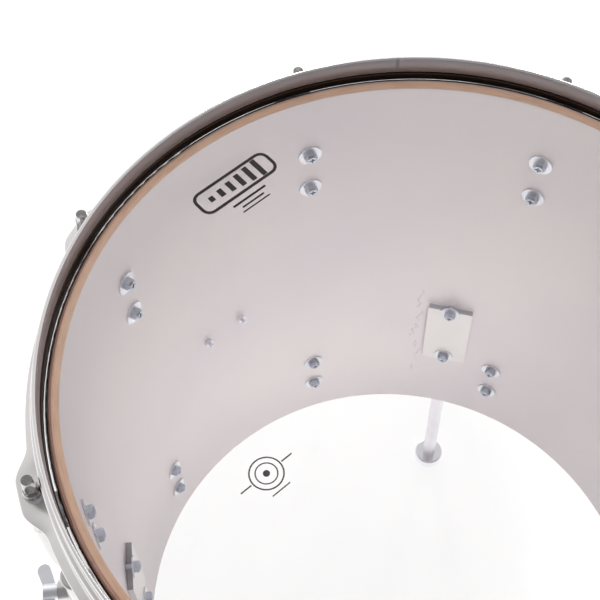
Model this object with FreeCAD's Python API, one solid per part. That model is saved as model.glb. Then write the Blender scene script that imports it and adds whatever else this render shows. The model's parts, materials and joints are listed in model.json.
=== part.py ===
"""A 16 inch by 16 inch floor tom: wooden shell, two clear heads, two steel hoops, key rods and three legs.

Millimetres. The drum's axis is Z, the floor that the feet rest on is z = 0, and the badge faces -Y.
Heights of the top edge hardware are counted from the upper bearing edge, and the lower hardware is the
same design turned over and counted from the lower one.
"""
import FreeCAD, Part
import math
import os

# Shell
R_OUT = 201.5
SHELL_WALL = 7.0
SHELL_DEPTH = 406.4
SHELL_TOP = 595.0
EDGE_PEAK_IN = 3.3          # the bearing edge's peak lies this far in from the outer face
EDGE_ROUND = 3.2            # round from the peak down to the outer face
EDGE_SLOPE = math.tan(math.radians(30.0))

# Heads
FILM = 0.35
COLLAR_DROP = 6.0           # from the bearing edge down to where the film enters its flesh hoop
COLLAR_GAP = 0.75           # between the shell's outer face and the collar
COLLAR_ROUND = 3.6
FLESH_HOOP_IN = 203.4
FLESH_HOOP_OUT = 206.8
FLESH_HOOP_TOP = 1.85
FLESH_HOOP_BOTTOM = -7.0
FLESH_HOOP_CORNER = 0.8

# Counter-hoops, as (radius, height over the bearing edge, corner radius)
HOOP_TOP = 14.5
HOOP_SKIRT = 208.9
HOOP_FLANGE = 213.2
HOOP_OUTLINE = [
    (206.0, HOOP_TOP, 1.15), (206.0, 4.2, 1.2), (HOOP_SKIRT, 3.8, 1.5), (HOOP_SKIRT, -8.6, 1.6),
    (HOOP_FLANGE, -10.4, 0.85), (212.6, -12.3, 0.85), (207.0, -10.0, 2.4), (207.0, 2.0, 1.0),
    (203.6, 2.2, 1.8), (203.6, HOOP_TOP, 1.15),
]
EAR_TIP = 222.2
EAR_ROOT_IN = 0.8           # how far an ear's root reaches into the skirt
EAR_HALF_ROOT = 17.0
EAR_HALF_FLANGE = 15.5
EAR_HALF_TIP = 8.5
EAR_ROOT_CORNER = 5.0
EAR_TIP_CORNER = 6.5
EAR_TOP = -10.2
EAR_THICK = 2.3
EAR_HOLE = 3.4
EAR_SPOT_FACE = 5.35        # flat round the hole for the rod's washer

# Tension rods, eight to a hoop
LUG_COUNT = 8
LUG_STEP = 360.0 / LUG_COUNT
LUG_FIRST = LUG_STEP / 2
R_ROD = 214.3
ROD_SHAFT = 2.72
ROD_TIP_CORNER = 0.6
ROD_COLLAR = 5.0
ROD_COLLAR_TALL = 3.8
ROD_COLLAR_ROUND = 2.2
ROD_HEAD_WIDE = 6.3
ROD_HEAD_TALL = 10.5
ROD_HEAD_CORNER = 0.7
ROD_HEAD_SINK = 0.5         # the square head starts this far inside the collar
ROD_CROWN_TOP = 0.95        # the turned crown's radius at the top and the bottom of the head,
ROD_CROWN_BOTTOM = 1.9      # as shares of half the head's width
ROD_BELOW_NUT = 4.0
WASHER_OUT = 5.25
WASHER_IN = 3.1
WASHER_THICK = 1.8

# Lugs: distances of a lug's middle from its bearing edge, and the two bolts either side of it
LUG_DROP_TOP = 69.4
LUG_DROP_BOTTOM = 64.1
LUG_BOLT_HALF = 17.05
LUG_HALF_WIDE = 11.0
LUG_UP = 31.0
LUG_DOWN = 32.0
LUG_FRONT = 222.6
LUG_OUTLINE = [             # (radius, height over the lug's middle, corner radius)
    (R_OUT, LUG_UP), (218.5, LUG_UP, 4.5), (LUG_FRONT, 22.0, 9.0), (LUG_FRONT, -13.0, 14.0),
    (211.5, -LUG_DOWN, 6.0), (R_OUT, -LUG_DOWN),
]
LUG_FRONT_ROUND = 10.8
LUG_BORE = 3.5
LUG_BORE_BOTTOM = -21.5
GASKET = 0.8
GASKET_MARGIN = 0.8
GASKET_CORNER = 2.5
NUT_R = 5.4
NUT_TALL = 14.0
NUT_BORE = 2.78
NUT_RISE = 6.0              # the nut's middle over the lug's middle
POCKET_CLEARANCE = 0.3

# Bolts from inside the shell
BOLT_R = 2.4
BOLT_HOLE = 2.75
BOLT_TIP = 208.6
BOLT_HEAD_ACROSS = 7.6
BOLT_HEAD_TALL = 4.2
BOLT_HEAD_END_R = 2.9
BOLT_HEAD_FLARE = 1.0       # how fast the turned chamfer on the head's end widens
RECESS_LONG = 4.2           # cross recess in each bolt's head
RECESS_WIDE = 1.2
RECESS_DEEP = 1.8
BOLT_WASHER_R = 7.75
BOLT_WASHER_THICK = 1.2
CURVE_RELIEF = 0.2          # a flat washer touches the curved wall at its edge only

# Legs and their brackets
BADGE_ANGLE = -90.0
LEG_SPREAD = 55.25          # from the badge to each front leg
LEG_ANGLES = [BADGE_ANGLE - LEG_SPREAD, BADGE_ANGLE + LEG_SPREAD, BADGE_ANGLE + 180.0]
R_LEG = 230.0
LEG_R = 6.0
LEG_TOP = 470.0
LEG_FIT = 0.05
BRACKET_BOLT_HALF = 33.0
BRACKET_MIDDLE = SHELL_TOP - 283.0
BRACKET_HALF_WIDE = 19.0
BRACKET_HALF_TALL = 43.0
BRACKET_CORNER = 7.0
BRACKET_BASE = 5.0
BOSS_R = 11.5
BOSS_HALF_TALL = 31.0
BOSS_CORNER = 2.0
WEB_HALF_BACK = 15.0
WEB_HALF_FRONT = 11.0
WEB_HALF_TALL = 25.0
CLAMP_BOSS_R = 8.5
CLAMP_BOSS_END = 247.0
CLAMP_HOLE = 3.06
CLAMP_R = 3.0
CLAMP_GAP = 0.3
CLAMP_HUB_START = CLAMP_BOSS_END + 0.6
CLAMP_HUB_R = 6.5
CLAMP_HUB_LONG = 10.0
WING_HALF_THICK = 2.3
WING_OUTLINE = [            # (distance past the hub's start, side distance, corner radius)
    (2.0, -6.0), (6.5, -21.0, 4.0), (17.0, -21.0, 5.0), (11.0, -5.0, 4.0),
    (11.0, 5.0, 4.0), (17.0, 21.0, 5.0), (6.5, 21.0, 4.0), (2.0, 6.0),
]
PLATE_HALF_WIDE = 17.5
PLATE_THICK = 4.0
PLATE_CORNER = 1.0
PLATE_ABOVE_BOLT = 2.5
PLATE_BELOW_BOLT = 6.5
BRACKET_BOLT_R = 2.9
BRACKET_BOLT_HOLE = 3.2
LEG_CORNER_TOP = 1.5
LEG_CORNER_BOTTOM = 0.8
FOOT_R = 14.2
FOOT_TALL = 10.0
FOOT_SOLE = 3.0
FOOT_CORNER_TOP = 1.8
FOOT_CORNER_BOTTOM = 1.2

# Badge and vent
BADGE_HEIGHT = SHELL_TOP - 208.0
BADGE_SCREW_HALF = 15.5
BADGE_HALF_WIDE = 23.5
BADGE_HALF_TALL = 14.0
BADGE_CORNER = 6.0
BADGE_THICK = 1.0
SMALL_SCREW_R = 1.4
SMALL_SCREW_HOLE = 1.6
SMALL_SCREW_TIP_IN = 6.5    # how far its tip stands inside the shell's inner wall
SMALL_HEAD_R = 2.8
SMALL_HEAD_TOP_R = 1.7
SMALL_HEAD_TALL = 1.3
SMALL_NUT_ACROSS = 5.5
SMALL_NUT_TALL = 2.4
VENT_ANGLE = 45.0
VENT_HOLE = 6.5
VENT_TUBE = 6.4
VENT_BORE = 4.8
VENT_FLANGE = 10.0
VENT_FLANGE_THICK = 1.2
CLEAR = 0.05                # air between small parts and the curved wall behind them
DRILL_PAST = 5.0            # how far a drill overshoots the faces it goes through

R_IN = R_OUT - SHELL_WALL
SHELL_BOTTOM = SHELL_TOP - SHELL_DEPTH
R_PEAK = R_OUT - EDGE_PEAK_IN
R_SEAT = R_OUT + GASKET     # back of everything bolted to the outside
R_PLATE_BACK = math.sqrt(R_IN ** 2 - PLATE_HALF_WIDE ** 2) - CLEAR
PLATE_MIDDLE_SHIFT = (PLATE_ABOVE_BOLT - PLATE_BELOW_BOLT) / 2
PLATE_HALF_TALL = BRACKET_BOLT_HALF + (PLATE_ABOVE_BOLT + PLATE_BELOW_BOLT) / 2

V = FreeCAD.Vector
ORIGIN = V(0, 0, 0)
X = V(1, 0, 0)
Z = V(0, 0, 1)


def wire_from(corners, to_space):
    """A closed wire through (u, v, corner radius) points; a point without a radius stays sharp."""
    flat = [V(c[0], c[1], 0) for c in corners]
    radii = [c[2] if len(c) > 2 else 0.0 for c in corners]
    starts, middles, ends = [], [], []
    for i, (here, radius) in enumerate(zip(flat, radii)):
        back = (flat[i - 1] - here).normalize()
        on = (flat[(i + 1) % len(flat)] - here).normalize()
        half = back.getAngle(on) / 2
        reach = radius / math.tan(half)
        bisector = (back + on)
        bisector.normalize()
        starts.append(here + back * reach)
        ends.append(here + on * reach)
        middles.append(here + bisector * (radius / math.sin(half) - radius))
    edges = []
    for i, radius in enumerate(radii):
        if radius:
            arc = [to_space(p) for p in (starts[i], middles[i], ends[i])]
            edges.append(Part.Arc(*arc).toShape())
        a, b = ends[i], starts[(i + 1) % len(flat)]
        if a.distanceToPoint(b) > 1e-6:
            edges.append(Part.makeLine(to_space(a), to_space(b)))
    return Part.Wire(edges)


def revolved(corners):
    """A ring or disc about Z from its (radius, height) outline."""
    return Part.Face(wire_from(corners, lambda p: V(p.x, 0, p.y))).revolve(ORIGIN, Z, 360)


def side_prism(corners, half_wide):
    """A (radius, height) outline made as wide as asked along Y."""
    face = Part.Face(wire_from(corners, lambda p: V(p.x, -half_wide, p.y)))
    return face.extrude(V(0, 2 * half_wide, 0))


def plan_prism(corners, low, high):
    """An (x, y) outline made solid between two heights."""
    return Part.Face(wire_from(corners, lambda p: V(p.x, p.y, low))).extrude(V(0, 0, high - low))


def front_prism(corners, near, far):
    """A (y, z) outline made solid between two distances along X."""
    return Part.Face(wire_from(corners, lambda p: V(near, p.x, p.y))).extrude(V(far - near, 0, 0))


def rectangle(half_u, half_v, corner=0.0, middle_v=0.0):
    """Corners of a rectangle about u = 0."""
    low, high = middle_v - half_v, middle_v + half_v
    return [(-half_u, low, corner), (half_u, low, corner), (half_u, high, corner), (-half_u, high, corner)]


def post(radius, x, low, high):
    """An upright cylinder at a distance from the drum's axis."""
    return Part.makeCylinder(radius, high - low, V(x, 0, low), Z)


def pin(radius, near, far, y=0.0, z=0.0):
    """A cylinder that points away from the drum's axis."""
    return Part.makeCylinder(radius, far - near, V(near, y, z), X)


def hexagon(across, near, far, y=0.0, z=0.0):
    """A hexagonal bar that points away from the drum's axis."""
    reach = across / math.sqrt(3)
    turns = [math.radians(60 * k) for k in range(6)]
    corners = [(y + reach * math.cos(t), z + reach * math.sin(t)) for t in turns]
    return front_prism(corners, near, far)


def wall_patch(inner, outer, corners):
    """A piece of a tube wall with the given (y, z) outline, on the +X side."""
    low = min(c[1] for c in corners)
    high = max(c[1] for c in corners)
    tube = Part.makeCylinder(outer, high - low, V(0, 0, low), Z)
    tube = tube.cut(Part.makeCylinder(inner, high - low, V(0, 0, low), Z))
    return tube.common(front_prism(corners, 0.8 * inner, 1.1 * outer))


def turned(shape, angle):
    """A copy turned about the drum's axis."""
    copy = shape.copy()
    copy.rotate(ORIGIN, Z, angle)
    return copy


def raised(shape, height):
    """A copy moved up."""
    copy = shape.copy()
    copy.translate(V(0, 0, height))
    return copy


def upper(shape):
    """Something drawn from the bearing edge at z = 0, put on the upper edge."""
    return raised(shape, SHELL_TOP)


def lower(shape):
    """Something drawn from the bearing edge at z = 0, turned over and put on the lower edge."""
    copy = shape.copy()
    copy.rotate(ORIGIN, X, 180)
    return raised(copy, SHELL_BOTTOM)


def lug_angles():
    return [LUG_FIRST + LUG_STEP * k for k in range(LUG_COUNT)]


def around(shape, angles):
    """One copy at each angle, kept as separate solids."""
    return Part.makeCompound([turned(shape, angle) for angle in angles])


def bolt_heights():
    """Heights of the four lug bolts in a column."""
    heights = [SHELL_TOP - LUG_DROP_TOP + side * LUG_BOLT_HALF for side in (1, -1)]
    return heights + [SHELL_BOTTOM + LUG_DROP_BOTTOM + side * LUG_BOLT_HALF for side in (1, -1)]


def bracket_bolt_heights():
    return [BRACKET_MIDDLE + side * BRACKET_BOLT_HALF for side in (1, -1)]


def make_shell():
    """Drilled tube with a 30 degree inner cut and a small outer round at both bearing edges."""
    cut = (R_PEAK - R_IN) * EDGE_SLOPE
    shell = revolved([
        (R_IN, SHELL_BOTTOM + cut), (R_PEAK, SHELL_BOTTOM), (R_OUT, SHELL_BOTTOM, EDGE_ROUND),
        (R_OUT, SHELL_TOP, EDGE_ROUND), (R_PEAK, SHELL_TOP), (R_IN, SHELL_TOP - cut),
    ])
    near, far = R_IN - DRILL_PAST, R_OUT + DRILL_PAST
    drills = []
    for height in bolt_heights():
        drills += [turned(pin(BOLT_HOLE, near, far, 0, height), angle) for angle in lug_angles()]
    for height in bracket_bolt_heights():
        drills += [turned(pin(BRACKET_BOLT_HOLE, near, far, 0, height), angle) for angle in LEG_ANGLES]
    for side in (1, -1):
        y = side * BADGE_SCREW_HALF
        drills.append(turned(pin(SMALL_SCREW_HOLE, near, far, y, BADGE_HEIGHT), BADGE_ANGLE))
    drills.append(turned(pin(VENT_HOLE, near, far, 0, BADGE_HEIGHT), VENT_ANGLE))
    return shell.cut(drills)


def make_film():
    """Clear film stretched over the edge, with a collar that turns down and out to its flesh hoop."""
    inside = R_OUT + COLLAR_GAP
    return revolved([
        (0, FILM), (inside + FILM, FILM, COLLAR_ROUND + FILM), (inside + FILM, FILM - COLLAR_DROP),
        (FLESH_HOOP_IN, FILM - COLLAR_DROP), (FLESH_HOOP_IN, -COLLAR_DROP), (inside, -COLLAR_DROP),
        (inside, 0, COLLAR_ROUND), (0, 0),
    ])


def make_flesh_hoop():
    """Metal channel that grips the film's edge."""
    corner = FLESH_HOOP_CORNER
    return revolved([
        (FLESH_HOOP_IN, FLESH_HOOP_BOTTOM, corner), (FLESH_HOOP_OUT, FLESH_HOOP_BOTTOM, corner),
        (FLESH_HOOP_OUT, FLESH_HOOP_TOP, corner), (FLESH_HOOP_IN, FLESH_HOOP_TOP, corner),
    ])


def make_hoop():
    """Steel counter-hoop: a plain upright rim, a step over the flesh hoop, a skirt and an eared flange."""
    ring = revolved(HOOP_OUTLINE)
    root = HOOP_SKIRT - EAR_ROOT_IN
    half = [
        (root, EAR_HALF_ROOT), (HOOP_FLANGE, EAR_HALF_FLANGE, EAR_ROOT_CORNER),
        (EAR_TIP, EAR_HALF_TIP, EAR_TIP_CORNER),
    ]
    other_half = [(corner[0], -corner[1], *corner[2:]) for corner in reversed(half)]
    ear = plan_prism(half + other_half, EAR_TOP - EAR_THICK, EAR_TOP)
    ears = [turned(ear, angle) for angle in lug_angles()]
    hole = post(EAR_HOLE, R_ROD, EAR_TOP - EAR_THICK - DRILL_PAST, EAR_TOP)
    drill = hole.fuse(post(EAR_SPOT_FACE, R_ROD, EAR_TOP, 0))
    return ring.fuse(ears).cut([turned(drill, angle) for angle in lug_angles()])


def make_rod(lug_drop):
    """Key rod: square head, round collar and a plain shank that reaches through its nut."""
    seat = EAR_TOP + WASHER_THICK
    tip = -lug_drop + NUT_RISE - NUT_TALL / 2 - ROD_BELOW_NUT
    collar = seat + ROD_COLLAR_TALL
    head_top = collar + ROD_HEAD_TALL
    outline = [
        (0, tip), (ROD_SHAFT, tip, ROD_TIP_CORNER), (ROD_SHAFT, seat), (ROD_COLLAR, seat),
        (ROD_COLLAR, collar, ROD_COLLAR_ROUND), (0, collar),
    ]
    half = ROD_HEAD_WIDE / 2
    low = collar - ROD_HEAD_SINK
    head = plan_prism(rectangle(half, half, ROD_HEAD_CORNER), low, head_top)
    crown = Part.makeCone(half * ROD_CROWN_BOTTOM, half * ROD_CROWN_TOP, head_top - low, V(0, 0, low), Z)
    rod = revolved(outline).fuse(head.common(crown))
    rod.translate(V(R_ROD, 0, 0))
    return rod


def make_rod_washer():
    outer = post(WASHER_OUT, R_ROD, EAR_TOP, EAR_TOP + WASHER_THICK)
    return outer.cut(post(WASHER_IN, R_ROD, EAR_TOP, EAR_TOP + WASHER_THICK))


def make_lug(lug_drop):
    """Cast lug with a rounded front, a bore for the rod and a pocket for its nut that opens at the back."""
    side = side_prism(LUG_OUTLINE, 2 * LUG_HALF_WIDE)
    plan = plan_prism([
        (R_IN, -LUG_HALF_WIDE), (LUG_FRONT, -LUG_HALF_WIDE, LUG_FRONT_ROUND),
        (LUG_FRONT, LUG_HALF_WIDE, LUG_FRONT_ROUND), (R_IN, LUG_HALF_WIDE),
    ], -2 * LUG_UP, 2 * LUG_UP)
    lug = side.common(plan).cut(Part.makeCylinder(R_SEAT, 4 * LUG_UP, V(0, 0, -2 * LUG_UP), Z))
    pocket_half = NUT_TALL / 2 + POCKET_CLEARANCE
    pocket_r = NUT_R + POCKET_CLEARANCE
    low, high = NUT_RISE - pocket_half, NUT_RISE + pocket_half
    cuts = [
        post(LUG_BORE, R_ROD, LUG_BORE_BOTTOM, 2 * LUG_UP),
        post(pocket_r, R_ROD, low, high),
        front_prism(rectangle(pocket_r, pocket_half, 0, NUT_RISE), R_IN, R_ROD),
    ]
    cuts += [pin(BOLT_R, R_OUT, BOLT_TIP, 0, side * LUG_BOLT_HALF) for side in (1, -1)]
    return raised(lug.cut(cuts), -lug_drop)


def make_lug_gasket(lug_drop):
    half_tall = (LUG_UP + LUG_DOWN) / 2 + GASKET_MARGIN
    corners = rectangle(LUG_HALF_WIDE + GASKET_MARGIN, half_tall, GASKET_CORNER, (LUG_UP - LUG_DOWN) / 2)
    patch = wall_patch(R_OUT, R_SEAT, corners)
    holes = [pin(BOLT_HOLE, R_IN, LUG_FRONT, 0, side * LUG_BOLT_HALF) for side in (1, -1)]
    return raised(patch.cut(holes), -lug_drop)


def make_swivel_nut(lug_drop):
    middle = NUT_RISE - lug_drop
    low, high = middle - NUT_TALL / 2, middle + NUT_TALL / 2
    return post(NUT_R, R_ROD, low, high).cut(post(NUT_BORE, R_ROD, low, high))


def make_bolt(height, radius, seat, tip, across):
    """Hexagonal bolt put in from inside, its head against a washer at the given distance."""
    near = seat - BOLT_HEAD_TALL
    head = hexagon(across, near, seat, 0, height)
    wide = BOLT_HEAD_END_R + BOLT_HEAD_TALL * BOLT_HEAD_FLARE
    chamfer = Part.makeCone(BOLT_HEAD_END_R, wide, BOLT_HEAD_TALL, V(near, 0, height), X)
    half_long, half_wide = RECESS_LONG / 2, RECESS_WIDE / 2
    cross = [
        raised(front_prism(rectangle(half_long, half_wide), near, near + RECESS_DEEP), height),
        raised(front_prism(rectangle(half_wide, half_long), near, near + RECESS_DEEP), height),
    ]
    return head.common(chamfer).cut(cross).fuse(pin(radius, near + RECESS_DEEP, tip, 0, height))


def make_bolt_washer(height, hole, seat):
    far = seat + BOLT_WASHER_THICK
    return pin(BOLT_WASHER_R, seat, far, 0, height).cut(pin(hole, seat, far, 0, height))


def make_bracket():
    """Cast leg bracket: curved base, a web, an upright boss for the leg and an outward boss for its screw."""
    outline = rectangle(BRACKET_HALF_WIDE, BRACKET_HALF_TALL, BRACKET_CORNER)
    base = wall_patch(R_SEAT, R_SEAT + BRACKET_BASE, outline)
    web = plan_prism([
        (R_OUT, -WEB_HALF_BACK), (R_LEG - LEG_R, -WEB_HALF_FRONT), (R_LEG - LEG_R, WEB_HALF_FRONT),
        (R_OUT, WEB_HALF_BACK),
    ], -WEB_HALF_TALL, WEB_HALF_TALL)
    web = web.cut(Part.makeCylinder(R_SEAT, 2 * WEB_HALF_TALL, V(0, 0, -WEB_HALF_TALL), Z))
    boss = revolved([
        (0, -BOSS_HALF_TALL), (BOSS_R, -BOSS_HALF_TALL, BOSS_CORNER), (BOSS_R, BOSS_HALF_TALL, BOSS_CORNER),
        (0, BOSS_HALF_TALL),
    ])
    boss.translate(V(R_LEG, 0, 0))
    bracket = base.fuse([web, boss, pin(CLAMP_BOSS_R, R_LEG, CLAMP_BOSS_END)])
    cuts = [
        post(LEG_R + LEG_FIT, R_LEG, -2 * BOSS_HALF_TALL, 2 * BOSS_HALF_TALL),
        pin(CLAMP_HOLE, R_LEG, CLAMP_BOSS_END + DRILL_PAST),
    ]
    cuts += [pin(BRACKET_BOLT_R, R_OUT, BOLT_TIP, 0, side * BRACKET_BOLT_HALF) for side in (1, -1)]
    return raised(bracket.cut(cuts), BRACKET_MIDDLE)


def make_bracket_gasket():
    corners = rectangle(BRACKET_HALF_WIDE + GASKET_MARGIN, BRACKET_HALF_TALL + GASKET_MARGIN, BRACKET_CORNER)
    patch = wall_patch(R_OUT, R_SEAT, corners)
    holes = [pin(BRACKET_BOLT_HOLE, R_IN, LUG_FRONT, 0, side * BRACKET_BOLT_HALF) for side in (1, -1)]
    return raised(patch.cut(holes), BRACKET_MIDDLE)


def make_backing_plate():
    """Flat plate inside the shell that spreads the bracket's load; its upper bolt is close to its top."""
    corners = rectangle(PLATE_HALF_WIDE, PLATE_HALF_TALL, PLATE_CORNER, PLATE_MIDDLE_SHIFT)
    plate = front_prism(corners, R_PLATE_BACK - PLATE_THICK, R_PLATE_BACK)
    near = R_PLATE_BACK - PLATE_THICK - DRILL_PAST
    holes = [pin(BRACKET_BOLT_HOLE, near, R_OUT, 0, side * BRACKET_BOLT_HALF) for side in (1, -1)]
    return raised(plate.cut(holes), BRACKET_MIDDLE)


def make_clamp_screw():
    """Wing screw that presses on the leg: shank, hub and two rounded wings."""
    start = R_LEG + LEG_R + CLAMP_GAP
    hub = CLAMP_HUB_START
    outline = [(hub + corner[0], *corner[1:]) for corner in WING_OUTLINE]
    wings = plan_prism(outline, -WING_HALF_THICK, WING_HALF_THICK)
    screw = pin(CLAMP_R, start, hub).fuse([pin(CLAMP_HUB_R, hub, hub + CLAMP_HUB_LONG), wings])
    return raised(screw, BRACKET_MIDDLE)


def make_leg():
    leg = revolved([
        (0, FOOT_SOLE), (LEG_R, FOOT_SOLE, LEG_CORNER_BOTTOM), (LEG_R, LEG_TOP, LEG_CORNER_TOP), (0, LEG_TOP),
    ])
    leg.translate(V(R_LEG, 0, 0))
    return leg


def make_foot():
    """Low round foot with a flat sole, a flat top and a socket for the leg."""
    foot = revolved([
        (0, 0), (FOOT_R, 0, FOOT_CORNER_BOTTOM), (FOOT_R, FOOT_TALL, FOOT_CORNER_TOP), (LEG_R, FOOT_TALL),
        (LEG_R, FOOT_SOLE), (0, FOOT_SOLE),
    ])
    foot.translate(V(R_LEG, 0, 0))
    return foot


def make_badge():
    """Blank curved plate on the outside of the shell."""
    outline = rectangle(BADGE_HALF_WIDE, BADGE_HALF_TALL, BADGE_CORNER)
    patch = wall_patch(R_OUT, R_OUT + BADGE_THICK, outline)
    holes = [pin(SMALL_SCREW_HOLE, R_IN, R_OUT + DRILL_PAST, side * BADGE_SCREW_HALF) for side in (1, -1)]
    return raised(patch.cut(holes), BADGE_HEIGHT)


def make_badge_screw(side):
    """Round-headed screw from outside, long enough for its nut inside the shell."""
    y = side * BADGE_SCREW_HALF
    seat = R_OUT + BADGE_THICK
    head = Part.makeCone(SMALL_HEAD_R, SMALL_HEAD_TOP_R, SMALL_HEAD_TALL, V(seat, y, 0), X)
    return raised(head.fuse(pin(SMALL_SCREW_R, R_IN - SMALL_SCREW_TIP_IN, seat, y)), BADGE_HEIGHT)


def make_badge_nut(side):
    y = side * BADGE_SCREW_HALF
    corner_at = BADGE_SCREW_HALF + SMALL_NUT_ACROSS / math.sqrt(3)
    wall = math.sqrt(R_IN ** 2 - corner_at ** 2) - CLEAR
    nut = hexagon(SMALL_NUT_ACROSS, wall - SMALL_NUT_TALL, wall, y)
    return raised(nut.cut(pin(SMALL_SCREW_R, wall - SMALL_NUT_TALL, wall, y)), BADGE_HEIGHT)


def make_vent():
    """Metal grommet round the air hole, with a thin flange on each side of the wall."""
    inside = math.sqrt(R_IN ** 2 - VENT_FLANGE ** 2) - CLEAR
    outside = R_OUT + CLEAR
    near, far = inside - VENT_FLANGE_THICK, outside + VENT_FLANGE_THICK
    flanges = [pin(VENT_FLANGE, near, inside), pin(VENT_FLANGE, outside, far)]
    grommet = pin(VENT_TUBE, near, far).fuse(flanges).cut(pin(VENT_BORE, near, far))
    return turned(raised(grommet, BADGE_HEIGHT), VENT_ANGLE)


def build():
    """Every node's name and shape."""
    angles = lug_angles()
    nodes = {"shell": make_shell()}
    for edge, place in (("batter", upper), ("resonant", lower)):
        nodes[edge + "_head_film"] = place(make_film())
        nodes[edge + "_flesh_hoop"] = place(make_flesh_hoop())
        nodes[edge + "_hoop"] = place(make_hoop())
    for end, place, drop in (("top", upper, LUG_DROP_TOP), ("bottom", lower, LUG_DROP_BOTTOM)):
        nodes["lugs_" + end] = around(place(make_lug(drop)), angles)
        nodes["lug_gaskets_" + end] = around(place(make_lug_gasket(drop)), angles)
        nodes["swivel_nuts_" + end] = around(place(make_swivel_nut(drop)), angles)
        nodes["rod_washers_" + end] = around(place(make_rod_washer()), angles)
        rod = place(make_rod(drop))
        for number, angle in enumerate(angles, 1):
            nodes["tension_rod_%s_%d" % (end, number)] = turned(rod, angle)

    lug_seat = R_IN - CURVE_RELIEF - BOLT_WASHER_THICK
    bolts, washers = [], []
    for height in bolt_heights():
        bolt = make_bolt(height, BOLT_R, lug_seat, BOLT_TIP, BOLT_HEAD_ACROSS)
        washer = make_bolt_washer(height, BOLT_HOLE, lug_seat)
        bolts += [turned(bolt, angle) for angle in angles]
        washers += [turned(washer, angle) for angle in angles]
    nodes["lug_bolts"] = Part.makeCompound(bolts)
    nodes["lug_bolt_washers"] = Part.makeCompound(washers)

    plate_seat = R_PLATE_BACK - PLATE_THICK - BOLT_WASHER_THICK
    bolts, washers = [], []
    for height in bracket_bolt_heights():
        bolt = make_bolt(height, BRACKET_BOLT_R, plate_seat, BOLT_TIP, BOLT_HEAD_ACROSS)
        washer = make_bolt_washer(height, BRACKET_BOLT_HOLE, plate_seat)
        bolts += [turned(bolt, angle) for angle in LEG_ANGLES]
        washers += [turned(washer, angle) for angle in LEG_ANGLES]
    nodes["bracket_bolts"] = Part.makeCompound(bolts)
    nodes["bracket_bolt_washers"] = Part.makeCompound(washers)
    nodes["bracket_gaskets"] = around(make_bracket_gasket(), LEG_ANGLES)
    nodes["backing_plates"] = around(make_backing_plate(), LEG_ANGLES)

    for number, angle in enumerate(LEG_ANGLES, 1):
        nodes["leg_bracket_%d" % number] = turned(make_bracket(), angle)
        nodes["clamp_screw_%d" % number] = turned(make_clamp_screw(), angle)
        nodes["leg_%d" % number] = turned(make_leg(), angle)
        nodes["leg_foot_%d" % number] = turned(make_foot(), angle)

    nodes["badge_plate"] = turned(make_badge(), BADGE_ANGLE)
    nodes["badge_screws"] = Part.makeCompound([turned(make_badge_screw(s), BADGE_ANGLE) for s in (1, -1)])
    nodes["badge_nuts"] = Part.makeCompound([turned(make_badge_nut(s), BADGE_ANGLE) for s in (1, -1)])
    nodes["vent_grommet"] = make_vent()
    return nodes


def main():
    os.makedirs("parts", exist_ok=True)
    for name, shape in build().items():
        shape.exportStep("parts/%s.step" % name)
        print("%-22s solids %2d valid %s" % (name, len(shape.Solids), shape.isValid()))


main()
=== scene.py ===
import bpy
import json
import math
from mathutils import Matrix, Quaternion, Vector


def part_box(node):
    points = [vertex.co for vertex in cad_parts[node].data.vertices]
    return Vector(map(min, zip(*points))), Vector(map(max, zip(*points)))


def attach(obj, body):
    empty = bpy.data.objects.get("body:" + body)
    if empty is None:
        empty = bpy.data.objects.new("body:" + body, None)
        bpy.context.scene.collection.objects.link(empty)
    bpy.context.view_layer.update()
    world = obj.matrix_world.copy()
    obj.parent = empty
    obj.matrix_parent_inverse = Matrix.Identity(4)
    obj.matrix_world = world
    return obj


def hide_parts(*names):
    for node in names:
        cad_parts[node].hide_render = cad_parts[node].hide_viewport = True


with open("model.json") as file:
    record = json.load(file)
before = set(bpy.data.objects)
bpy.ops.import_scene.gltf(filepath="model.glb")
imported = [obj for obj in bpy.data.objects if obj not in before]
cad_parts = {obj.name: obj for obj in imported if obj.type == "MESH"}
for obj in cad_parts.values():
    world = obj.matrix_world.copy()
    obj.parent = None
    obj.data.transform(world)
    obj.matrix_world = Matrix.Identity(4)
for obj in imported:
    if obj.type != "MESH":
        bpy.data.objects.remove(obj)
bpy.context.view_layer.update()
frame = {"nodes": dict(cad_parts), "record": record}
NODES = frame["nodes"]

# ------------------------------------------------------------------ places, from the frame
MM = 0.001
SHELL_LOW, SHELL_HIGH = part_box("shell")
TOP, BOTTOM = SHELL_HIGH.z, SHELL_LOW.z
MIDDLE = (TOP + BOTTOM) / 2
HALF_DEPTH = (TOP - BOTTOM) / 2
R_OUT = SHELL_HIGH.x
WALL = 7.0 * MM
R_IN = R_OUT - WALL
R_PEAK = R_OUT - 3.3 * MM        # the bearing edge's crest
EDGE_DROP_IN = 2.1 * MM          # how far bare wood reaches down the inside
EDGE_DROP_OUT = 3.2 * MM         # and the outside
HOOP_BORE = 203.6                # the counter-hoops' inner wall, in mm as in their section
FILM_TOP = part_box("batter_head_film")[1].z
FILM_UNDER = BOTTOM - (FILM_TOP - TOP)
BADGE_ANGLE = -90.0
LUG_ANGLES = [22.5 + 45.0 * k for k in range(8)]


def polar(radius, angle, z):
    """A point from its distance to the drum's axis, its angle in degrees and its height."""
    turn = math.radians(angle)
    return Vector((radius * math.cos(turn), radius * math.sin(turn), z))


def darkened(colour, share):
    """The colour with each channel scaled by the same share."""
    return tuple(c * share for c in colour)


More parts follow.
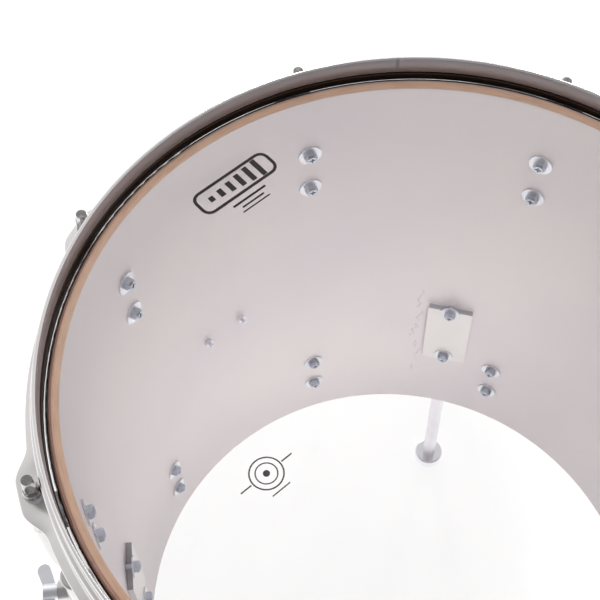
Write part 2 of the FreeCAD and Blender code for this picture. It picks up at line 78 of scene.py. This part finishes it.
# ------------------------------------------------------------------ colours, linear
PAINT_COOL = (0.825, 0.778, 0.800)
PAINT_WARM = (0.870, 0.818, 0.812)
WOOD_LIGHT = (0.92, 0.64, 0.46)
WOOD_TAN = (0.88, 0.57, 0.39)
# WOOD_RED and WOOD_DARK on the outer round carry painted shade as well as the wood's tone; WOOD_DARK also
# draws the grain
WOOD_RED = (0.80, 0.47, 0.35)
WOOD_DARK = (0.56, 0.31, 0.21)
CRACK = (0.33, 0.30, 0.33)
LACQUER = (0.17, 0.175, 0.19)
LACQUER_GLINT = (0.40, 0.41, 0.43)
CHROME = (0.88, 0.86, 0.86)
CAST_CHROME = (0.68, 0.67, 0.67)
# painted reflection: the colour of the hoops' inner wall, darker than the plating, standing in for what the
# wall reflects
CHROME_INNER_SHADE = (0.84, 0.80, 0.82)
WELD_GREY = (0.25, 0.25, 0.27)
# painted reflection on the rods: dark where they face the eye, bright where they turn away
ROD_FACING = (0.26, 0.25, 0.25)
ROD_GRAZING = (0.78, 0.76, 0.75)
ZINC = (0.88, 0.90, 0.95)
ZINC_HEAD = (0.70, 0.76, 0.86)
BRASS = (0.70, 0.53, 0.24)
ALLOY = (0.08, 0.05, 0.038)
BLACK = (0.018, 0.018, 0.020)
INK = (0.021, 0.017, 0.017)
FILM_MIRROR = (0.97, 0.96, 0.96)
FILM_CLEAR = (0.985, 0.985, 0.985)
PLATE_WHITE = (0.92, 0.90, 0.88)
# painted shade for the plates' up-facing edges
PLATE_TOP_SHADE = (0.33, 0.33, 0.36)
LEG_CHROME = (0.86, 0.84, 0.88)
FOOT_LAVENDER = (0.93, 0.92, 0.98)
BADGE_METAL = (0.60, 0.60, 0.61)
FLOOR_PAINT = (0.32, 0.32, 0.32)  # reflects little itself, because its glow is what makes it white
FLOOR_GLOW = 0.88


# ------------------------------------------------------------------ node graphs
class Graph:
    """A material under construction, with short calls for the nodes that recur."""

    def __init__(self, name):
        self.material = bpy.data.materials.new(name)
        self.material.use_nodes = True
        self.tree = self.material.node_tree
        self.tree.nodes.clear()
        self.output = self.tree.nodes.new("ShaderNodeOutputMaterial")
        self.shader = self.tree.nodes.new("ShaderNodeBsdfPrincipled")
        self.tree.links.new(self.shader.outputs[0], self.output.inputs["Surface"])
        self.place = self.tree.nodes.new("ShaderNodeTexCoord").outputs["Object"]

    def put(self, value, socket):
        """Links a socket, or sets a plain number or colour."""
        if hasattr(value, "node"):
            self.tree.links.new(value, socket)
        elif isinstance(value, tuple) and len(value) == 3 and socket.type == "RGBA":
            socket.default_value = (*value, 1)
        else:
            socket.default_value = value

    def set(self, **values):
        """Sets the Principled shader's sockets by name, with _ for a space."""
        for name, value in values.items():
            self.put(value, self.shader.inputs[name.replace("_", " ")])

    def math(self, operation, a, b=0.0):
        """One arithmetic step on values or plain numbers."""
        n = self.tree.nodes.new("ShaderNodeMath")
        n.operation = operation
        self.put(a, n.inputs[0])
        self.put(b, n.inputs[1])
        return n.outputs[0]

    def scaled(self, factors, source=None):
        """A place stretched by three factors."""
        n = self.tree.nodes.new("ShaderNodeVectorMath")
        n.operation = "MULTIPLY"
        self.put(source or self.place, n.inputs[0])
        n.inputs[1].default_value = factors
        return n.outputs[0]

    def split(self, source=None):
        """The three parts of a vector, of the place if none is given."""
        n = self.tree.nodes.new("ShaderNodeSeparateXYZ")
        self.put(source or self.place, n.inputs[0])
        return n.outputs

    def radius(self):
        """Distance from the drum's axis."""
        n = self.tree.nodes.new("ShaderNodeVectorMath")
        n.operation = "LENGTH"
        self.put(self.scaled((1, 1, 0)), n.inputs[0])
        return n.outputs["Value"]

    def arc_from(self, angle):
        """Distance along the wall from a line at the given angle, in metres, positive anticlockwise."""
        turn = math.radians(angle)
        x, y, _ = self.split()
        along = self.math("SUBTRACT", self.math("MULTIPLY", y, math.cos(turn)),
                          self.math("MULTIPLY", x, math.sin(turn)))
        out = self.math("ADD", self.math("MULTIPLY", x, math.cos(turn)),
                        self.math("MULTIPLY", y, math.sin(turn)))
        return self.math("MULTIPLY", self.math("ARCTAN2", along, out), R_OUT)

    def wall_map(self):
        """The place as (arc, 0, height), for grain that runs round the drum."""
        n = self.tree.nodes.new("ShaderNodeCombineXYZ")
        self.put(self.arc_from(0.0), n.inputs[0])
        self.put(self.split()[2], n.inputs[2])
        return n.outputs[0]

    def noise(self, scale, detail=3.0, roughness=0.5, source=None):
        """Cloudy values, mostly between 0.3 and 0.7."""
        n = self.tree.nodes.new("ShaderNodeTexNoise")
        self.put(source or self.place, n.inputs["Vector"])
        n.inputs["Scale"].default_value = scale
        n.inputs["Detail"].default_value = detail
        n.inputs["Roughness"].default_value = roughness
        return n.outputs["Fac"]

    def spread(self, value, low, high, to_low=0.0, to_high=1.0):
        """Maps low..high to to_low..to_high, smoothly and clamped."""
        n = self.tree.nodes.new("ShaderNodeMapRange")
        n.interpolation_type = "SMOOTHSTEP"
        self.put(value, n.inputs["Value"])
        for name, number in (("From Min", low), ("From Max", high), ("To Min", to_low), ("To Max", to_high)):
            n.inputs[name].default_value = number
        return n.outputs["Result"]

    def blotchy(self, noise, to_low=0.0, to_high=1.0):
        """Stretches a noise over to_low..to_high."""
        return self.spread(noise, 0.3, 0.7, to_low, to_high)

    def mix(self, share, a, b):
        """A colour between two."""
        n = self.tree.nodes.new("ShaderNodeMix")
        n.data_type = "RGBA"
        colours = [s for s in n.inputs if s.type == "RGBA"]
        self.put(share, n.inputs["Factor"])
        self.put(a, colours[0])
        self.put(b, colours[1])
        return [s for s in n.outputs if s.type == "RGBA"][0]

    def bump(self, height, strength, distance):
        """Lends the shader a fine relief."""
        n = self.tree.nodes.new("ShaderNodeBump")
        n.inputs["Strength"].default_value = strength
        n.inputs["Distance"].default_value = distance
        self.put(height, n.inputs["Height"])
        self.put(n.outputs[0], self.shader.inputs["Normal"])


# ------------------------------------------------------------------ materials
PLIES = 6
WELD_ANGLE = -129.0              # where the hoops' strips are joined
# Distances from the drum's mid-height over which the weld's mark sets in and the painted shade on the hoops'
# inner wall deepens.
WELD_FROM, WELD_TO = HALF_DEPTH + 5 * MM, HALF_DEPTH + 8 * MM
INNER_SHADE_FROM, INNER_SHADE_TO = HALF_DEPTH + 2 * MM, HALF_DEPTH + 13 * MM
CRACK_ANGLE = -138.0             # a fine crack in the paint beside a backing plate
CRACK_LOW, CRACK_HIGH = TOP - 360 * MM, TOP - 225 * MM
CRACK_WANDER = 50 * MM           # sideways, for the whole range of its noise
CRACK_FADE = 10 * MM             # how soon it starts and ends
TOP_SHADE_FROM, TOP_SHADE_TO = 0.45, 0.85  # how steeply a face looks up where the painted shade sets in and is full
FILM_IOR = 1.35
SKIN_RELIEF = 0.2 * MM           # depth of the fine relief on metal, rubber and ink


def wood_colour(g, radius, fibre):
    """Bare ply: rings of veneer, lighter inside the crest of the bearing edge and redder and darker outside
    it, partly the wood's own tone and partly painted shade where the outer round faces the hoop.
    """
    plies = g.math("FRACT", g.math("MULTIPLY", g.math("SUBTRACT", radius, R_IN), PLIES / WALL))
    ply = g.spread(plies, 0.40, 0.60)
    inner = g.mix(ply, WOOD_LIGHT, WOOD_TAN)
    # the outer round's redder, darker tone is partly the wood's own and partly painted shade
    outer = g.mix(ply, WOOD_RED, WOOD_DARK)
    wood = g.mix(g.spread(radius, R_PEAK - 0.2 * MM, R_PEAK + 0.3 * MM), inner, outer)
    return g.mix(g.spread(fibre, 0.35, 0.7, 0.0, 0.35), wood, WOOD_DARK)


def crack_share(g):
    """A hair crack that wanders down the inner wall and breaks off here and there."""
    sway = g.noise(28.0, 6.0, 0.7, g.scaled((0, 0, 1)))
    wander = g.math("MULTIPLY", g.math("SUBTRACT", sway, 0.5), CRACK_WANDER)
    off_line = g.math("ABSOLUTE", g.math("SUBTRACT", g.arc_from(CRACK_ANGLE), wander))
    line = g.spread(off_line, 0.15 * MM, 0.55 * MM, 1.0, 0.0)
    broken = g.spread(g.noise(70.0, 3.0), 0.42, 0.56)
    height = g.split()[2]
    span = g.math("MULTIPLY", g.spread(height, CRACK_LOW, CRACK_LOW + CRACK_FADE),
                  g.spread(height, CRACK_HIGH - CRACK_FADE, CRACK_HIGH, 1.0, 0.0))
    return g.math("MULTIPLY", g.math("MULTIPLY", line, broken), span)


def shell_material():
    """Painted inside, sealed ply at the bearing edges, silver-grey metallic lacquer outside."""
    g = Graph("shell_wood")
    radius = g.radius()
    from_middle = g.math("ABSOLUTE", g.math("SUBTRACT", g.split()[2], MIDDLE))
    wall_map = g.wall_map()
    fibre = g.noise(1.0, 5.0, 0.6, g.scaled((60, 1, 900), wall_map))

    blotch = g.noise(7.0, 3.0)
    brush = g.noise(1.0, 4.0, 0.6, g.scaled((25, 1, 260), wall_map))
    paint = g.mix(g.spread(blotch, 0.35, 0.65), PAINT_COOL, PAINT_WARM)
    paint = g.mix(g.spread(brush, 0.35, 0.70, 0.0, 0.12), paint, PAINT_COOL)
    paint = g.mix(g.math("MULTIPLY", crack_share(g), 0.7), paint, CRACK)

    sparkle = g.noise(1800.0, 1.0)
    lacquer = g.mix(g.spread(sparkle, 0.50, 0.72), LACQUER, LACQUER_GLINT)
    wood = wood_colour(g, radius, fibre)

    paint_end = HALF_DEPTH - EDGE_DROP_IN
    lacquer_end = HALF_DEPTH - EDGE_DROP_OUT
    cut_in = g.spread(from_middle, paint_end - 0.2 * MM, paint_end + 0.1 * MM)
    cut_out = g.spread(from_middle, lacquer_end - 0.2 * MM, lacquer_end + 0.1 * MM)
    inner_skin = g.spread(radius, R_IN + 0.15 * MM, R_IN + 0.35 * MM, 1.0, 0.0)
    outer_skin = g.spread(radius, R_OUT - 0.35 * MM, R_OUT - 0.15 * MM)
    colour = g.mix(inner_skin, wood, g.mix(cut_in, paint, wood))
    colour = g.mix(outer_skin, colour, g.mix(cut_out, lacquer, wood))
    lacquered = g.math("MULTIPLY", outer_skin, g.math("SUBTRACT", 1.0, cut_out))
    g.set(Base_Color=colour, Roughness=g.spread(lacquered, 0.0, 1.0, 0.46, 0.20), Specular_IOR_Level=0.4)
    g.bump(g.math("ADD", g.noise(160.0, 3.0), g.math("MULTIPLY", fibre, 0.35)), 0.10, 0.5 * MM)
    return g.material


def film_material():
    """Clear film: see-through from straight on, mirror-like at a glance, with a very faint haze."""
    g = Graph("clear_film")
    g.set(Base_Color=FILM_MIRROR, Roughness=0.07, Metallic=1.0)
    clear = g.tree.nodes.new("ShaderNodeBsdfTransparent")
    g.put(FILM_CLEAR, clear.inputs["Color"])
    glance = g.tree.nodes.new("ShaderNodeFresnel")
    glance.inputs["IOR"].default_value = FILM_IOR
    haze = g.blotchy(g.noise(25.0, 4.0), 0.010, 0.022)
    mixer = g.tree.nodes.new("ShaderNodeMixShader")
    g.put(g.math("ADD", glance.outputs[0], haze), mixer.inputs[0])
    g.put(clear.outputs[0], mixer.inputs[1])
    g.put(g.shader.outputs[0], mixer.inputs[2])
    g.put(mixer.outputs[0], g.output.inputs["Surface"])
    return g.material


def metal(name, colour, rough, smear_by=0.05, dent=0.04, shade=0.90, grain=None):
    """Plated or bare metal with uneven tone and gloss; three grain factors draw its skin into brush lines."""
    g = Graph(name)
    smear = g.noise(30.0, 4.0, 0.6)
    g.set(Base_Color=g.mix(g.blotchy(smear), colour, darkened(colour, shade)), Metallic=1.0,
          Roughness=g.blotchy(g.noise(55.0, 5.0, 0.65), rough, rough + smear_by))
    fine = g.noise(1.0, 3.0, 0.6, g.scaled(grain)) if grain else g.noise(420.0, 3.0)
    g.bump(fine, dent, SKIN_RELIEF)
    return g.material


def hoop_material():
    """Plated hoop: a painted dark reflection on its inner wall that deepens towards the top, with rolling
    lines and the mark of its weld.
    """
    g = Graph("chrome_hoop")
    wall_map = g.wall_map()
    lines = g.noise(1.0, 4.0, 0.6, g.scaled((6, 1, 2600), wall_map))
    smear = g.noise(26.0, 4.0, 0.6)
    from_middle = g.math("ABSOLUTE", g.math("SUBTRACT", g.split()[2], MIDDLE))
    off_weld = g.math("ABSOLUTE", g.arc_from(WELD_ANGLE))
    weld = g.math("MULTIPLY", g.spread(off_weld, 0.6 * MM, 1.5 * MM, 1.0, 0.0),
                  g.spread(from_middle, WELD_FROM, WELD_TO))
    plating = g.mix(g.blotchy(smear), CHROME, darkened(CHROME, 0.95))
    inside = g.spread(g.radius(), (HOOP_BORE + 0.1) * MM, (HOOP_BORE + 0.5) * MM, 1.0, 0.0)
    # painted shade: the inner wall's colour darkens towards the top in place of a dark reflection
    inner_shade = g.mix(g.spread(from_middle, INNER_SHADE_FROM, INNER_SHADE_TO), CHROME_INNER_SHADE, darkened(CHROME_INNER_SHADE, 0.80))
    plating = g.mix(inside, plating, inner_shade)
    dull = g.math("ADD", g.math("MULTIPLY", inside, 0.16), g.math("MULTIPLY", weld, 0.15))
    g.set(Base_Color=g.mix(g.math("MULTIPLY", weld, 0.45), plating, WELD_GREY), Metallic=1.0,
          Roughness=g.math("ADD", g.blotchy(smear, 0.20, 0.26), dull))
    g.bump(lines, 0.04, SKIN_RELIEF)
    return g.material


def rod_material():
    """Polished rods with a painted reflection in their colour: dark in the middle, bright towards the sides,
    with streaks.
    """
    g = Graph("steel_rod")
    weight = g.tree.nodes.new("ShaderNodeLayerWeight")
    weight.inputs["Blend"].default_value = 0.5
    streak = g.noise(1.0, 2.0, 0.5, g.scaled((420, 420, 60)))
    bright = g.math("ADD", weight.outputs["Facing"], g.spread(streak, 0.35, 0.65, -0.22, 0.22))
    g.set(Base_Color=g.mix(g.spread(bright, 0.15, 0.95), ROD_FACING, ROD_GRAZING), Metallic=1.0,
          Roughness=g.blotchy(g.noise(60.0, 4.0), 0.10, 0.18))
    g.bump(g.noise(420.0, 3.0), 0.04, SKIN_RELIEF)
    return g.material


def matte(name, colour, rough, mottle=0.12, scale=200.0, dent=0.2, specular=0.5):
    """Rubber or printed surface with uneven tone and a fine skin; scale sets how fine."""
    g = Graph(name)
    tone = g.noise(40.0, 4.0, 0.6)
    g.set(Base_Color=g.mix(g.blotchy(tone), colour, darkened(colour, 1 - mottle)),
          Specular_IOR_Level=specular, Roughness=g.blotchy(tone, rough, rough + 0.08))
    g.bump(g.noise(scale, 3.0), dent, SKIN_RELIEF)
    return g.material


def plate_material():
    """White paint, with painted shade along the upper edge, where the plate faces up."""
    g = Graph("plate_white")
    facing = g.tree.nodes.new("ShaderNodeNewGeometry").outputs["Normal"]
    # painted shade on faces that look up, standing in for the dim light from overhead
    top_shade = g.spread(g.split(facing)[2], TOP_SHADE_FROM, TOP_SHADE_TO)
    tone = g.noise(40.0, 4.0, 0.6)
    white = g.mix(g.blotchy(tone), PLATE_WHITE, darkened(PLATE_WHITE, 0.97))
    g.set(Base_Color=g.mix(top_shade, white, PLATE_TOP_SHADE), Roughness=g.blotchy(tone, 0.35, 0.43))
    g.bump(g.noise(300.0, 3.0), 0.1, SKIN_RELIEF)
    return g.material


def floor_material():
    """White floor lit from below like a light table, so that it fills the drum from underneath."""
    g = Graph("studio_floor")
    tone = g.noise(1.5, 2.0)
    g.set(Base_Color=g.mix(tone, FLOOR_PAINT, darkened(FLOOR_PAINT, 0.985)), Roughness=0.75,
          Specular_IOR_Level=0.2, Emission_Color=(1.0, 1.0, 1.0), Emission_Strength=FLOOR_GLOW)
    return g.material


OWN_MATERIAL = {"lug_bolts": "zinc_head", "bracket_bolts": "zinc_head"}  # darker than their slot's


def dress():
    """Gives every CAD node its material and returns the materials by name."""
    made = {
        "shell_wood": shell_material(),
        "clear_film": film_material(),
        "flesh_hoop_alloy": metal("flesh_hoop_alloy", ALLOY, 0.55),
        "chrome_hoop": hoop_material(),
        "chrome_cast": metal("chrome_cast", CAST_CHROME, 0.10, dent=0.08),
        "gasket_rubber": matte("gasket_rubber", BLACK, 0.55),
        "nut_brass": metal("nut_brass", BRASS, 0.25),
        "steel_plated": metal("steel_plated", ZINC, 0.24, smear_by=0.12),
        "steel_rod": rod_material(),
        "plate_white": plate_material(),
        "leg_chrome": metal("leg_chrome", LEG_CHROME, 0.42, smear_by=0.06, grain=(900, 900, 40)),
        "foot_rubber": metal("foot_rubber", FOOT_LAVENDER, 0.12, smear_by=0.04, dent=0.01, shade=0.98),
        "badge_metal": metal("badge_metal", BADGE_METAL, 0.28, grain=(60, 2500, 2500)),
        "zinc_head": metal("zinc_head", ZINC_HEAD, 0.26, smear_by=0.12, shade=0.8),
        "ink": matte("ink", INK, 0.45, mottle=0.2, scale=900.0, dent=0.05, specular=0.2),
    }
    for part in frame["record"]["subparts"]:
        name = part["node"]
        for slot in NODES[name].material_slots:
            slot.material = made[OWN_MATERIAL.get(name, part["material_slot"])]
    return made


# ------------------------------------------------------------------ meshes
SHARP_FROM = math.radians(40.0)  # faces that meet at more than this keep a sharp edge


def rounded(corners, steps=5):
    """Points along a closed outline of (u, v, corner radius) corners, arcs included."""
    points = []
    for i, (u, v, radius) in enumerate(corners):
        here = Vector((u, v))
        back = (Vector(corners[i - 1][:2]) - here).normalized()
        on = (Vector(corners[(i + 1) % len(corners)][:2]) - here).normalized()
        if radius <= 0:
            points.append(here)
            continue
        half = back.angle(on) / 2
        centre = here + (back + on).normalized() * (radius / math.sin(half))
        start = here + back * (radius / math.tan(half)) - centre
        end = here + on * (radius / math.tan(half)) - centre
        sweep = start.angle_signed(end)
        for k in range(steps + 1):
            turn = -sweep * k / steps
            cos, sin = math.cos(turn), math.sin(turn)
            points.append(centre + Vector((start.x * cos - start.y * sin, start.x * sin + start.y * cos)))
    return points


def mesh_piece(name, points, faces, material):
    """A new object from points and faces, smooth but for its sharp edges."""
    mesh = bpy.data.meshes.new(name)
    mesh.from_pydata([tuple(p) for p in points], [], faces)
    mesh.polygons.foreach_set("use_smooth", [True] * len(mesh.polygons))
    mesh.set_sharp_from_angle(angle=SHARP_FROM)
    mesh.update()
    piece = bpy.data.objects.new(name, mesh)
    bpy.context.scene.collection.objects.link(piece)
    piece.data.materials.append(material)
    return piece


def ring(name, section_at, segments, material):
    """A closed ring about the drum's axis whose (radius, height) section may change with the angle."""
    points, faces = [], []
    for k in range(segments):
        section = section_at(360.0 * k / segments)
        points += [polar(p[0], 360.0 * k / segments, p[1]) for p in section]
    count = len(points) // segments
    for k in range(segments):
        for i in range(count):
            j, n = (i + 1) % count, (k + 1) % segments
            faces.append((k * count + i, n * count + i, n * count + j, k * count + j))
    return mesh_piece(name, points, faces, material)


# ------------------------------------------------------------------ counter-hoops
# Corners of the hoop's section as (radius, height over the bearing edge, corner radius) in mm: between
# the ears, and through the middle of an ear.
HOOP_PLAIN = [
    (206.0, 14.5, 1.15), (206.0, 4.2, 1.2), (208.9, 3.8, 1.5), (208.9, -8.6, 1.6), (214.4, -10.4, 0.85),
    (213.8, -12.3, 0.85), (207.0, -10.0, 2.4), (207.0, 2.0, 1.0), (HOOP_BORE, 2.2, 1.8),
    (HOOP_BORE, 14.5, 1.15),
]
HOOP_EAR = [
    (206.0, 14.5, 1.15), (206.0, 4.2, 1.2), (208.9, 3.8, 1.5), (208.9, -10.2, 0.12), (222.2, -10.25, 1.05),
    (222.2, -12.5, 1.05), (207.0, -12.3, 2.0), (207.0, 2.0, 1.0), (HOOP_BORE, 2.2, 1.8),
    (HOOP_BORE, 14.5, 1.15),
]
EAR_FLAT = 8.0                   # arc from an ear's middle to where it starts to fade, in mm
EAR_FADE = 27.0                  # and to where it has gone
EAR_ARC_RADIUS = 214.3           # both arcs are measured on this circle
HOOP_SEGMENTS = 1080


def ear_share(angle):
    """1 across an ear, 0 between ears, and smooth on the way."""
    off = min(abs((angle - lug + 180.0) % 360.0 - 180.0) for lug in LUG_ANGLES)
    arc = math.radians(off) * EAR_ARC_RADIUS
    t = min(max((EAR_FADE - arc) / (EAR_FADE - EAR_FLAT), 0.0), 1.0)
    return t * t * (3 - 2 * t)


def hoop(name, node, edge, side, material):
    """A hoop on one bearing edge; side is 1 for the upper edge and -1 for the lower."""
    def section(angle):
        share = ear_share(angle)
        corners = [
            tuple(a + (b - a) * share for a, b in zip(plain, ear))
            for plain, ear in zip(HOOP_PLAIN, HOOP_EAR)
        ]
        return [(p.x * MM, edge + side * p.y * MM) for p in rounded(corners)]

    piece = ring(name, section, HOOP_SEGMENTS, material)
    if side > 0:
        piece.data.flip_normals()
    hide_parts(node)
    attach(piece, "drum")


# ------------------------------------------------------------------ printed marks
MARK_THICK = 0.04 * MM
BATTER_MARK_AT = 160 * MM        # from the drum's axis, towards the badge
RESONANT_MARK_AT = 158 * MM


def plate_outline(points, low, high, base):
    """Points and faces of a flat shape between two heights, numbered from base."""
    count = len(points)
    body = [(x, y, low) for x, y in points] + [(x, y, high) for x, y in points]
    faces = [tuple(base + i for i in reversed(range(count))), tuple(base + count + i for i in range(count))]
    for i in range(count):
        j = (i + 1) % count
        faces.append((base + i, base + j, base + count + j, base + count + i))
    return body, faces


def frame_outline(outer, inner, low, high, base):
    """Points and faces of a flat frame between two outlines with as many points each."""
    count = len(outer)
    body = [(x, y, z) for z in (low, high) for ring_points in (outer, inner) for x, y in ring_points]
    faces = []
    for i in range(count):
        j = (i + 1) % count
        a, b, c, d = (base + k * count for k in range(4))
        faces += [(c + i, c + j, d + j, d + i), (a + j, a + i, b + i, b + j)]
        faces += [(a + i, a + j, c + j, c + i), (b + j, b + i, d + i, d + j)]
    return body, faces


def circle(radius, steps=72):
    """Outline of a circle about the origin."""
    turns = [2 * math.pi * k / steps for k in range(steps)]
    return [(radius * math.cos(t), radius * math.sin(t)) for t in turns]


def bar(width, height, centre, corner=0.4):
    """Outline of a rectangle with rounded corners."""
    half_w, half_h = width / 2, height / 2
    x, y = centre
    corner = min(corner, half_w * 0.98, half_h * 0.98)
    corners = [(x - half_w, y - half_h, corner), (x + half_w, y - half_h, corner),
               (x + half_w, y + half_h, corner), (x - half_w, y + half_h, corner)]
    return [tuple(p) for p in rounded(corners, 4)]


def mark(name, radius, low, high, solids, frames, material):
    """Ink on a head, drawn in mm about a point on the badge's side, with +y away from the drum's axis."""
    points, faces = [], []
    turn = math.radians(BADGE_ANGLE)
    for shape in solids:
        body, made = plate_outline(shape, low, high, len(points))
        points += body
        faces += made
    for outer, inner in frames:
        body, made = frame_outline(outer, inner, low, high, len(points))
        points += body
        faces += made
    out, across = Vector((math.cos(turn), math.sin(turn))), Vector((math.sin(turn), -math.cos(turn)))
    placed = []
    for x, y, z in points:
        flat = out * (radius + y * MM) + across * (x * MM)
        placed.append((flat.x, flat.y, z))
    piece = mesh_piece(name, placed, faces, material)
    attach(piece, "drum")


def batter_mark(material):
    """Plain printed panel of upright bars over three short rules, on the upper head."""
    bars = [bar(3.4, 4.0 + 1.9 * k, (-17.5 + 7.0 * k, 0.0)) for k in range(6)]
    rules = [bar(24.0, 1.5, (0, -13.0)), bar(16.0, 1.2, (0, -16.6)), bar(20.0, 0.9, (0, -19.6))]
    panel = (bar(55.0, 18.0, (0, 0), 6.0), bar(51.0, 14.0, (0, 0), 4.0))
    mark("mark_batter", BATTER_MARK_AT, FILM_TOP, FILM_TOP + MARK_THICK, bars + rules, [panel], material)


def resonant_mark(material):
    """Plain pair of rings with a dot and three rules, printed under the lower head."""
    rings = [(circle(16.0), circle(14.6)), (circle(10.5), circle(9.3))]
    solids = [circle(3.2, steps=36), bar(12.0, 1.4, (23.0, 0)), bar(12.0, 1.4, (-23.0, 0)),
              bar(20.0, 1.2, (0, -20.0))]
    mark("mark_resonant", RESONANT_MARK_AT, FILM_UNDER - MARK_THICK, FILM_UNDER, solids, rings, material)


# ------------------------------------------------------------------ studio
DARK_TOWARDS = (0.38, 0.46, 1.0)  # the sky darkens along this direction: up and over the eye's shoulder
SKY = [(0.0, 0.82), (0.30, 0.80), (0.60, 0.74), (0.80, 0.48), (1.0, 0.32)]  # how far that way, and tone
SKY_TINT = (1.0, 0.985, 0.985)
FLOOR_REACH = 12.0
UPWARDS = (0, 0, 1)
INSIDE = (-0.13, -0.16, 0.45)    # a point in the drum, on the badge's side
PLAIN = (1, 1, 1)
WARM = (1.0, 0.96, 0.92)
LAMPS = [
    # name, place, aim, metres across, watts, colour, whether reflections show it
    ("under_the_drum", (0, 0, 0.5 * MM), UPWARDS, 0.37, 0.60, PLAIN, False),
    ("over_shoulder", polar(1.6, 70, 1.95), INSIDE, 1.1, 51, PLAIN, False),
    ("far_left", polar(2.4, -124, 1.8), INSIDE, 0.45, 10, WARM, True),
    ("far_right", polar(2.4, -150, 1.8), INSIDE, 0.35, 6, WARM, True),
]


def area_light(name, place, aim, across, watts, colour, glints):
    """A round lamp that faces a point."""
    data = bpy.data.lights.new(name, "AREA")
    data.shape = "ELLIPSE"
    data.size = data.size_y = across
    data.energy = watts
    data.color = colour
    lamp = bpy.data.objects.new(name, data)
    bpy.context.scene.collection.objects.link(lamp)
    lamp.location = place
    lamp.rotation_mode = "QUATERNION"
    lamp.rotation_quaternion = (Vector(aim) - Vector(place)).to_track_quat("-Z", "Y")
    lamp.visible_glossy = glints


def surround():
    """Sky that is dark overhead and over the eye's shoulder, bright at the horizon and on the far side."""
    world = bpy.data.worlds.new("surround")
    bpy.context.scene.world = world
    world.use_nodes = True
    nodes, links = world.node_tree.nodes, world.node_tree.links
    towards = nodes.new("ShaderNodeTexCoord")
    tilt = nodes.new("ShaderNodeVectorMath")
    tilt.operation = "DOT_PRODUCT"
    links.new(towards.outputs["Generated"], tilt.inputs[0])
    tilt.inputs[1].default_value = DARK_TOWARDS
    ramp = nodes.new("ShaderNodeValToRGB")
    links.new(tilt.outputs["Value"], ramp.inputs[0])
    stops = ramp.color_ramp.elements
    for extra in SKY[1:-1]:
        stops.new(extra[0])
    for stop, (position, tone) in zip(stops, SKY):
        stop.position = position
        stop.color = (*darkened(SKY_TINT, tone), 1)
    links.new(ramp.outputs[0], nodes["Background"].inputs["Color"])
    nodes["Background"].inputs["Strength"].default_value = 1.0


def studio():
    """Glowing floor under a soft surround, with two lamps that fill the drum and two far ones that glint."""
    corners = [(x * FLOOR_REACH, y * FLOOR_REACH, 0) for x, y in ((-1, -1), (1, -1), (1, 1), (-1, 1))]
    mesh_piece("studio_floor", corners, [(0, 1, 2, 3)], floor_material())
    surround()
    for lamp in LAMPS:
        area_light(*lamp)


# The eye looks down past the upper rim from behind the drum, towards the badge's side.
EYE = Vector((0.24741, 0.19563, 0.55193))   # from the axis at the upper bearing edge's height
AIM = Vector((0.02481, -0.07419, 0.0))      # likewise
ROLL = math.radians(-1.905)
LENS = 71.72
SENSOR_WIDTH = 36.0


def camera():
    """The scene's camera."""
    data = bpy.data.cameras.new("camera")
    data.sensor_width = SENSOR_WIDTH
    data.lens = LENS
    data.clip_start, data.clip_end = 0.01, 60.0
    eye = bpy.data.objects.new("camera", data)
    bpy.context.scene.collection.objects.link(eye)
    eye.location = Vector((0, 0, TOP)) + EYE
    eye.rotation_mode = "QUATERNION"
    eye.rotation_quaternion = (AIM - EYE).to_track_quat("-Z", "Y") @ Quaternion((0, 0, 1), ROLL)
    bpy.context.scene.camera = eye


camera()
studio()
bpy.context.scene.view_settings.view_transform = "Standard"
materials = dress()
hoop("hoop_upper", "batter_hoop", TOP, 1, materials["chrome_hoop"])
hoop("hoop_lower", "resonant_hoop", BOTTOM, -1, materials["chrome_hoop"])
batter_mark(materials["ink"])
resonant_mark(materials["ink"])
